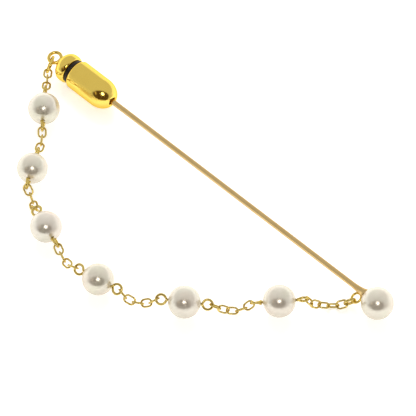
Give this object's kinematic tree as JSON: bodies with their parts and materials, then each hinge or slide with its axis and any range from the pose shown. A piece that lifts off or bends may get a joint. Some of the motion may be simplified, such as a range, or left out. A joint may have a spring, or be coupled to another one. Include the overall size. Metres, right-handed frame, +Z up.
{
  "type": "stick pin",
  "caption": "Pearl-headed stick pin with a spring ball clutch and a pearl-station safety chain from head to clutch.",
  "frame": {"origin": "centre of the whole piece's box, on the surface that it lies on", "axes": "+X along the stem from the head pearl to the point; +Y towards the safety chain; +Z up from the surface"},
  "size_m": [0.0764, 0.0326, 0.0052],
  "materials": {
    "stem_gold": "polished",
    "clutch_gold": "polished",
    "chain_gold": "polished",
    "pearl": "gloss",
    "cushion": "satin",
    "steel": "polished",
    "inner_brass": "satin"
  },
  "bodies": {
    "pin": {"needle": "stem_gold", "head_pearl": "pearl", "head_lug": "chain_gold"},
    "barrel": {"barrel_shell": "clutch_gold", "grip_cone": "steel", "end_bush": "clutch_gold", "clutch_spring": "steel"},
    "knob": {"knob": "clutch_gold", "knob_lug": "clutch_gold", "cushion_ring": "cushion", "ball_cage": "inner_brass"},
    "ball_1": {"ball_1": "steel"},
    "ball_2": {"ball_2": "steel"},
    "ball_3": {"ball_3": "steel"},
    "head_ring": {"head_ring": "chain_gold"},
    "link_01": {"link_01": "chain_gold"},
    "link_02": {"link_02": "chain_gold"},
    "link_03": {"link_03": "chain_gold"},
    "link_04": {"link_04": "chain_gold"},
    "link_05": {"link_05": "chain_gold"},
    "station_1": {"station_wire_1": "chain_gold"},
    "pearl_1": {"station_pearl_1": "pearl"},
    "link_06": {"link_06": "chain_gold"},
    "link_07": {"link_07": "chain_gold"},
    "link_08": {"link_08": "chain_gold"},
    "link_09": {"link_09": "chain_gold"},
    "link_10": {"link_10": "chain_gold"},
    "station_2": {"station_wire_2": "chain_gold"},
    "pearl_2": {"station_pearl_2": "pearl"},
    "link_11": {"link_11": "chain_gold"},
    "link_12": {"link_12": "chain_gold"},
    "link_13": {"link_13": "chain_gold"},
    "link_14": {"link_14": "chain_gold"},
    "link_15": {"link_15": "chain_gold"},
    "station_3": {"station_wire_3": "chain_gold"},
    "pearl_3": {"station_pearl_3": "pearl"},
    "link_16": {"link_16": "chain_gold"},
    "link_17": {"link_17": "chain_gold"},
    "link_18": {"link_18": "chain_gold"},
    "link_19": {"link_19": "chain_gold"},
    "station_4": {"station_wire_4": "chain_gold"},
    "pearl_4": {"station_pearl_4": "pearl"},
    "link_20": {"link_20": "chain_gold"},
    "link_21": {"link_21": "chain_gold"},
    "link_22": {"link_22": "chain_gold"},
    "link_23": {"link_23": "chain_gold"},
    "station_5": {"station_wire_5": "chain_gold"},
    "pearl_5": {"station_pearl_5": "pearl"},
    "link_24": {"link_24": "chain_gold"},
    "link_25": {"link_25": "chain_gold"},
    "link_26": {"link_26": "chain_gold"},
    "station_6": {"station_wire_6": "chain_gold"},
    "pearl_6": {"station_pearl_6": "pearl"},
    "link_27": {"link_27": "chain_gold"},
    "link_28": {"link_28": "chain_gold"},
    "link_29": {"link_29": "chain_gold"},
    "clutch_ring": {"clutch_ring": "chain_gold"}
  },
  "joints": [
    {"name": "clutch_slide", "type": "slide", "parent": "pin", "child": "barrel", "axis": [1, 0, 0], "range_m": [0, 0.0076]},
    {"name": "knob_pull", "type": "slide", "parent": "barrel", "child": "knob", "axis": [1, 0, 0], "range_m": [0, 0.0004], "stiffness_N_per_m": 1000, "springref_m": -0.0008, "deforming": ["clutch_spring"]},
    {"name": "ball_1_out", "type": "slide", "parent": "knob", "child": "ball_1", "axis": [0, 0, 1], "range_m": [0, 0.00011]},
    {"name": "ball_2_out", "type": "slide", "parent": "knob", "child": "ball_2", "axis": [0, -0.866, -0.5], "range_m": [0, 0.00011]},
    {"name": "ball_3_out", "type": "slide", "parent": "knob", "child": "ball_3", "axis": [0, 0.866, -0.5], "range_m": [0, 0.00011]},
    {"name": "head_ring_roll", "type": "hinge", "parent": "pin", "child": "head_ring", "pos_m": [-0.03163, -0.01164, 0.00129], "axis": [0.5283, 0.7271, -0.4384], "range_deg": [-8, 8]},
    {"name": "link_01_turn", "type": "hinge", "parent": "pin", "child": "link_01", "pos_m": [-0.03129, -0.01117, 0.00101], "axis": [0, 0, 1], "range_deg": [-11.9, 0]},
    {"name": "link_02_roll", "type": "hinge", "parent": "link_01", "child": "link_02", "pos_m": [-0.02997, -0.00954, 0.00074], "axis": [0.6393, 0.7618, 0.1045], "range_deg": [-8, 8]},
    {"name": "link_03_roll", "type": "hinge", "parent": "link_01", "child": "link_03", "pos_m": [-0.02902, -0.00846, 0.00093], "axis": [0.6736, 0.7223, 0.1564], "range_deg": [-8, 8]},
    {"name": "link_04_roll", "type": "hinge", "parent": "link_01", "child": "link_04", "pos_m": [-0.02821, -0.00742, 0.00144], "axis": [0.4444, 0.7112, 0.5446], "range_deg": [-8, 8]},
    {"name": "link_05_roll", "type": "hinge", "parent": "link_01", "child": "link_05", "pos_m": [-0.02763, -0.00656, 0.00241], "axis": [0.3622, 0.4806, 0.7986], "range_deg": [-8, 8]},
    {"name": "station_1_turn", "type": "hinge", "parent": "link_01", "child": "station_1", "pos_m": [-0.02737, -0.00622, 0.00297], "axis": [0, 0, 1], "range_deg": [0, 3.3]},
    {"name": "pearl_1_spin", "type": "hinge", "parent": "station_1", "child": "pearl_1", "pos_m": [-0.02443, -0.00318, 0.0026], "axis": [0.692, 0.7166, -0.0872], "continuous": true},
    {"name": "link_06_turn", "type": "hinge", "parent": "station_1", "child": "link_06", "pos_m": [-0.02149, -0.00013, 0.00223], "axis": [0, 0, 1], "range_deg": [-3.3, 0]},
    {"name": "link_07_roll", "type": "hinge", "parent": "link_06", "child": "link_07", "pos_m": [-0.02052, 0.00134, 0.00107], "axis": [0.5375, 0.7969, -0.2756], "range_deg": [-8, 8]},
    {"name": "link_08_roll", "type": "hinge", "parent": "link_06", "child": "link_08", "pos_m": [-0.01964, 0.00244, 0.00095], "axis": [0.6783, 0.7273, 0.1045], "range_deg": [-8, 8]},
    {"name": "link_09_roll", "type": "hinge", "parent": "link_06", "child": "link_09", "pos_m": [-0.0187, 0.00343, 0.00136], "axis": [0.6189, 0.6409, 0.454], "range_deg": [-8, 8]},
    {"name": "link_10_roll", "type": "hinge", "parent": "link_06", "child": "link_10", "pos_m": [-0.01779, 0.00433, 0.00204], "axis": [0.6397, 0.5965, 0.4848], "range_deg": [-8, 8]},
    {"name": "station_2_turn", "type": "hinge", "parent": "link_06", "child": "station_2", "pos_m": [-0.01734, 0.00475, 0.00238], "axis": [0, 0, 1], "range_deg": [0, 4]},
    {"name": "pearl_2_spin", "type": "hinge", "parent": "station_2", "child": "pearl_2", "pos_m": [-0.01404, 0.00742, 0.0026], "axis": [0.7761, 0.6285, 0.0523], "continuous": true},
    {"name": "link_11_turn", "type": "hinge", "parent": "station_2", "child": "link_11", "pos_m": [-0.01075, 0.01009, 0.00282], "axis": [0, 0, 1], "range_deg": [0, 3.3]},
    {"name": "link_12_roll", "type": "hinge", "parent": "link_11", "child": "link_12", "pos_m": [-0.0094, 0.01117, 0.00158], "axis": [0.7424, 0.5198, -0.4226], "range_deg": [-8, 8]},
    {"name": "link_13_roll", "type": "hinge", "parent": "link_11", "child": "link_13", "pos_m": [-0.00822, 0.01189, 0.0012], "axis": [0.8781, 0.4669, -0.1045], "range_deg": [-8, 8]},
    {"name": "link_14_roll", "type": "hinge", "parent": "link_11", "child": "link_14", "pos_m": [-0.00697, 0.0125, 0.0014], "axis": [0.8409, 0.3744, 0.3907], "range_deg": [-8, 8]},
    {"name": "link_15_roll", "type": "hinge", "parent": "link_11", "child": "link_15", "pos_m": [-0.00586, 0.01288, 0.0022], "axis": [0.6917, 0.147, 0.7071], "range_deg": [-8, 8]},
    {"name": "station_3_turn", "type": "hinge", "parent": "link_11", "child": "station_3", "pos_m": [-0.00538, 0.01298, 0.0027], "axis": [0, 0, 1], "range_deg": [0, 3.4]},
    {"name": "pearl_3_spin", "type": "hinge", "parent": "station_3", "child": "pearl_3", "pos_m": [-0.0012, 0.01372, 0.00255], "axis": [0.9842, 0.1735, -0.0349], "continuous": true},
    {"name": "link_16_turn", "type": "hinge", "parent": "station_3", "child": "link_16", "pos_m": [0.00299, 0.01445, 0.0024], "axis": [0, 0, 1], "range_deg": [0, 6.4]},
    {"name": "link_17_roll", "type": "hinge", "parent": "link_16", "child": "link_17", "pos_m": [0.00502, 0.01446, 0.00176], "axis": [0.9829, -0.1207, -0.1392], "range_deg": [-8, 8]},
    {"name": "link_18_roll", "type": "hinge", "parent": "link_16", "child": "link_18", "pos_m": [0.00639, 0.01417, 0.00188], "axis": [0.9145, -0.2796, 0.2924], "range_deg": [-8, 8]},
    {"name": "link_19_roll", "type": "hinge", "parent": "link_16", "child": "link_19", "pos_m": [0.00769, 0.01374, 0.00236], "axis": [0.8713, -0.3171, 0.3746], "range_deg": [-8, 8]},
    {"name": "station_4_turn", "type": "hinge", "parent": "link_16", "child": "station_4", "pos_m": [0.0083, 0.01351, 0.00262], "axis": [0, 0, 1], "range_deg": [-3.1, 0]},
    {"name": "pearl_4_spin", "type": "hinge", "parent": "station_4", "child": "pearl_4", "pos_m": [0.01229, 0.01206, 0.00255], "axis": [0.9395, -0.342, -0.0175], "continuous": true},
    {"name": "link_20_turn", "type": "hinge", "parent": "station_4", "child": "link_20", "pos_m": [0.01628, 0.01061, 0.00247], "axis": [0, 0, 1], "range_deg": [0, 3.3]},
    {"name": "link_21_roll", "type": "hinge", "parent": "link_20", "child": "link_21", "pos_m": [0.0176, 0.00971, 0.00125], "axis": [0.8305, -0.5393, -0.1392], "range_deg": [-8, 8]},
    {"name": "link_22_roll", "type": "hinge", "parent": "link_20", "child": "link_22", "pos_m": [0.01871, 0.00912, 0.00162], "axis": [0.6998, -0.2827, 0.6561], "range_deg": [-8, 8]},
    {"name": "link_23_roll", "type": "hinge", "parent": "link_20", "child": "link_23", "pos_m": [0.01977, 0.00881, 0.00257], "axis": [0.752, -0.1462, 0.6428], "range_deg": [-8, 8]},
    {"name": "station_5_turn", "type": "hinge", "parent": "link_20", "child": "station_5", "pos_m": [0.02029, 0.0087, 0.00302], "axis": [0, 0, 1], "range_deg": [0, 9.5]},
    {"name": "pearl_5_spin", "type": "hinge", "parent": "station_5", "child": "pearl_5", "pos_m": [0.02259, 0.00517, 0.0025], "axis": [0.5406, -0.8324, -0.1219], "continuous": true},
    {"name": "link_24_turn", "type": "hinge", "parent": "station_5", "child": "link_24", "pos_m": [0.02489, 0.00163, 0.00198], "axis": [0, 0, 1], "range_deg": [-3, 0]},
    {"name": "link_25_roll", "type": "hinge", "parent": "link_24", "child": "link_25", "pos_m": [0.02604, -0.00017, 0.00206], "axis": [0.6063, -0.776, 0.1736], "range_deg": [-8, 8]},
    {"name": "link_26_roll", "type": "hinge", "parent": "link_24", "child": "link_26", "pos_m": [0.02699, -0.0012, 0.00239], "axis": [0.6994, -0.6522, 0.2924], "range_deg": [-8, 8]},
    {"name": "station_6_turn", "type": "hinge", "parent": "link_24", "child": "station_6", "pos_m": [0.02747, -0.00166, 0.0026], "axis": [0, 0, 1], "range_deg": [-2.9, 0]},
    {"name": "pearl_6_spin", "type": "hinge", "parent": "station_6", "child": "pearl_6", "pos_m": [0.03032, -0.00482, 0.0026], "axis": [0.6691, -0.7431, 0], "continuous": true},
    {"name": "link_27_turn", "type": "hinge", "parent": "station_6", "child": "link_27", "pos_m": [0.03316, -0.00798, 0.0026], "axis": [0, 0, 1], "range_deg": [-3.1, 0]},
    {"name": "link_28_roll", "type": "hinge", "parent": "link_27", "child": "link_28", "pos_m": [0.03454, -0.0096, 0.00229], "axis": [0.6794, -0.7286, -0.0872], "range_deg": [-8, 8]},
    {"name": "link_29_roll", "type": "hinge", "parent": "link_27", "child": "link_29", "pos_m": [0.0355, -0.01068, 0.00224], "axis": [0.6427, -0.7659, 0.0175], "range_deg": [-8, 8]},
    {"name": "clutch_ring_turn", "type": "hinge", "parent": "link_27", "child": "clutch_ring", "pos_m": [0.03595, -0.01122, 0.00225], "axis": [0, 0, 1], "range_deg": [-3.1, 0]}
  ],
  "couplings": [
    {"joint": "ball_1_out", "follows": "knob_pull", "ratio": 0.2493},
    {"joint": "ball_2_out", "follows": "knob_pull", "ratio": 0.2493},
    {"joint": "ball_3_out", "follows": "knob_pull", "ratio": 0.2493},
    {"joint": "link_01_turn", "follows": "clutch_slide", "rad_per_m": -26.9},
    {"joint": "link_03_roll", "follows": "link_02_roll", "ratio": 1},
    {"joint": "link_04_roll", "follows": "link_02_roll", "ratio": 1},
    {"joint": "link_05_roll", "follows": "link_02_roll", "ratio": 1},
    {"joint": "station_1_turn", "follows": "clutch_slide", "rad_per_m": 7.27},
    {"joint": "link_06_turn", "follows": "clutch_slide", "rad_per_m": -7.12},
    {"joint": "link_08_roll", "follows": "link_07_roll", "ratio": 1},
    {"joint": "link_09_roll", "follows": "link_07_roll", "ratio": 1},
    {"joint": "link_10_roll", "follows": "link_07_roll", "ratio": 1},
    {"joint": "station_2_turn", "follows": "clutch_slide", "rad_per_m": 8.8},
    {"joint": "link_11_turn", "follows": "clutch_slide", "rad_per_m": 7.26},
    {"joint": "link_13_roll", "follows": "link_12_roll", "ratio": 1},
    {"joint": "link_14_roll", "follows": "link_12_roll", "ratio": 1},
    {"joint": "link_15_roll", "follows": "link_12_roll", "ratio": 1},
    {"joint": "station_3_turn", "follows": "clutch_slide", "rad_per_m": 7.56},
    {"joint": "link_16_turn", "follows": "clutch_slide", "rad_per_m": 14.32},
    {"joint": "link_18_roll", "follows": "link_17_roll", "ratio": 1},
    {"joint": "link_19_roll", "follows": "link_17_roll", "ratio": 1},
    {"joint": "station_4_turn", "follows": "clutch_slide", "rad_per_m": -6.66},
    {"joint": "link_20_turn", "follows": "clutch_slide", "rad_per_m": 7.29},
    {"joint": "link_22_roll", "follows": "link_21_roll", "ratio": 1},
    {"joint": "link_23_roll", "follows": "link_21_roll", "ratio": 1},
    {"joint": "station_5_turn", "follows": "clutch_slide", "rad_per_m": 21.43},
    {"joint": "link_24_turn", "follows": "clutch_slide", "rad_per_m": -6.56},
    {"joint": "link_26_roll", "follows": "link_25_roll", "ratio": 1},
    {"joint": "station_6_turn", "follows": "clutch_slide", "rad_per_m": -6.4},
    {"joint": "link_27_turn", "follows": "clutch_slide", "rad_per_m": -6.68},
    {"joint": "link_29_roll", "follows": "link_28_roll", "ratio": 1},
    {"joint": "clutch_ring_turn", "follows": "clutch_slide", "rad_per_m": -6.8}
  ]
}
